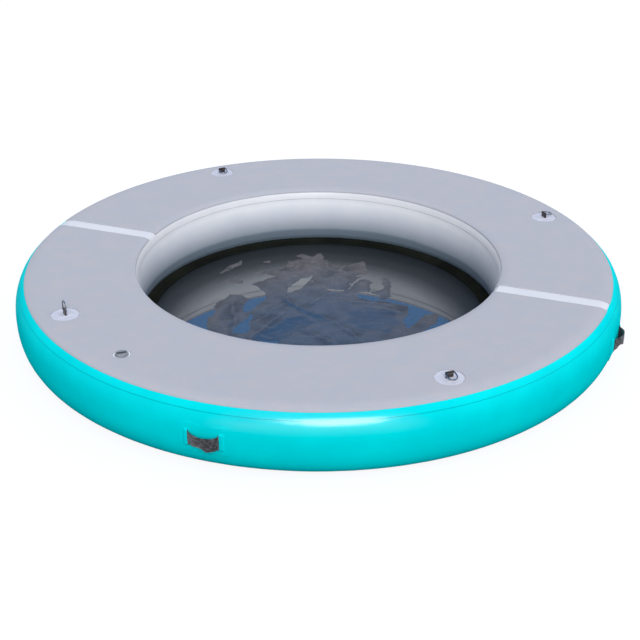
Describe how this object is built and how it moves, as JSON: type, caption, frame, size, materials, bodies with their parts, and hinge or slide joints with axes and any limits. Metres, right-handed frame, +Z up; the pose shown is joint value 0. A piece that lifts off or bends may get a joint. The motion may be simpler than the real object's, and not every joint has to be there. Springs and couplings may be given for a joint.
{
  "type": "water hammock",
  "caption": "Round inflatable ring with a foam deck, a mesh floor slung across its hole, towing rings on top and webbing carry handles round the side.",
  "frame": {"origin": "under the middle of the ring, on the plane that its flat underside rests on", "axes": "+Z up, +X parallel to the pale strip between the two deck pads, the valve on the -Y side"},
  "size_m": [2.1027, 2.1035, 0.2583],
  "materials": {
    "white_pvc": "satin coated fabric",
    "teal_pvc": "satin coated fabric",
    "grey_foam": "brushed closed-cell foam",
    "dark_mesh": "wet coated mesh",
    "black_webbing": "woven webbing",
    "polyester_yarn": "woven yarn",
    "stainless_steel": "polished wire",
    "spring_steel": "drawn wire",
    "dark_plastic": "moulded",
    "black_rubber": "moulded"
  },
  "bodies": {
    "float": {"bottom_skin": "white_pvc", "d_ring_patch_1": "white_pvc", "d_ring_patch_2": "white_pvc", "d_ring_patch_3": "white_pvc", "d_ring_patch_4": "white_pvc", "d_ring_webbing_1": "black_webbing", "d_ring_webbing_2": "black_webbing", "d_ring_webbing_3": "black_webbing", "d_ring_webbing_4": "black_webbing", "deck_pad_front": "grey_foam", "deck_pad_rear": "grey_foam", "drop_stitch_core": "polyester_yarn", "handle_base_1_left": "teal_pvc", "handle_base_1_right": "teal_pvc", "handle_base_2_left": "teal_pvc", "handle_base_2_right": "teal_pvc", "handle_base_3_left": "teal_pvc", "handle_base_3_right": "teal_pvc", "handle_base_4_left": "teal_pvc", "handle_base_4_right": "teal_pvc", "handle_cover_1_left": "teal_pvc", "handle_cover_1_right": "teal_pvc", "handle_cover_2_left": "teal_pvc", "handle_cover_2_right": "teal_pvc", "handle_cover_3_left": "teal_pvc", "handle_cover_3_right": "teal_pvc", "handle_cover_4_left": "teal_pvc", "handle_cover_4_right": "teal_pvc", "handle_webbing_1": "black_webbing", "handle_webbing_2": "black_webbing", "handle_webbing_3": "black_webbing", "handle_webbing_4": "black_webbing", "inner_bottom_seam_tape": "white_pvc", "inner_top_seam_tape": "white_pvc", "inner_wall": "white_pvc", "mesh_floor": "dark_mesh", "mesh_skirt": "dark_mesh", "outer_bottom_seam_tape": "teal_pvc", "outer_top_seam_tape": "teal_pvc", "outer_wall": "teal_pvc", "top_skin": "white_pvc", "valve_body": "dark_plastic", "valve_gasket": "black_rubber", "valve_nut": "dark_plastic", "valve_spring": "spring_steel"},
    "d_ring_1": {"d_ring_1": "stainless_steel"},
    "d_ring_2": {"d_ring_2": "stainless_steel"},
    "d_ring_3": {"d_ring_3": "stainless_steel"},
    "d_ring_4": {"d_ring_4": "stainless_steel"},
    "cap_lifter": {"cap_seal": "black_rubber"},
    "cap": {"valve_cap": "dark_plastic"},
    "valve_plunger": {"valve_poppet": "black_rubber"},
    "push_pin": {"valve_pin": "dark_plastic"}
  },
  "joints": [
    {"name": "d_ring_1_swing", "type": "hinge", "parent": "float", "child": "d_ring_1", "pos_m": [0.65302, 0.6047, 0.2263], "axis": [-0.6794, 0.7337, 0], "range_deg": [-210, 10]},
    {"name": "d_ring_2_swing", "type": "hinge", "parent": "float", "child": "d_ring_2", "pos_m": [-0.63588, 0.6227, 0.2263], "axis": [-0.6997, -0.7145, 0], "range_deg": [-5, 215]},
    {"name": "d_ring_3_swing", "type": "hinge", "parent": "float", "child": "d_ring_3", "pos_m": [-0.59089, -0.66554, 0.2263], "axis": [0.7478, -0.6639, 0], "range_deg": [-110, 110]},
    {"name": "d_ring_4_swing", "type": "hinge", "parent": "float", "child": "d_ring_4", "pos_m": [0.62381, -0.63479, 0.2263], "axis": [0.7133, 0.7009, 0], "range_deg": [-217, 3]},
    {"name": "cap_lift", "type": "slide", "parent": "float", "child": "cap_lifter", "axis": [0, 0, 1], "range_m": [0, 0.03]},
    {"name": "cap_turn", "type": "hinge", "parent": "cap_lifter", "child": "cap", "pos_m": [-0.30669, -0.82909, 0.2119], "axis": [0, 0, 1], "range_deg": [0, 90]},
    {"name": "pin_push", "type": "slide", "parent": "float", "child": "valve_plunger", "axis": [0, 0, -1], "range_m": [0, 0.004], "stiffness_N_per_m": 250, "springref_m": -0.003, "deforming": ["valve_spring"]},
    {"name": "pin_turn", "type": "hinge", "parent": "valve_plunger", "child": "push_pin", "pos_m": [-0.30669, -0.82909, 0.2061], "axis": [0, 0, 1], "range_deg": [0, 90]}
  ]
}
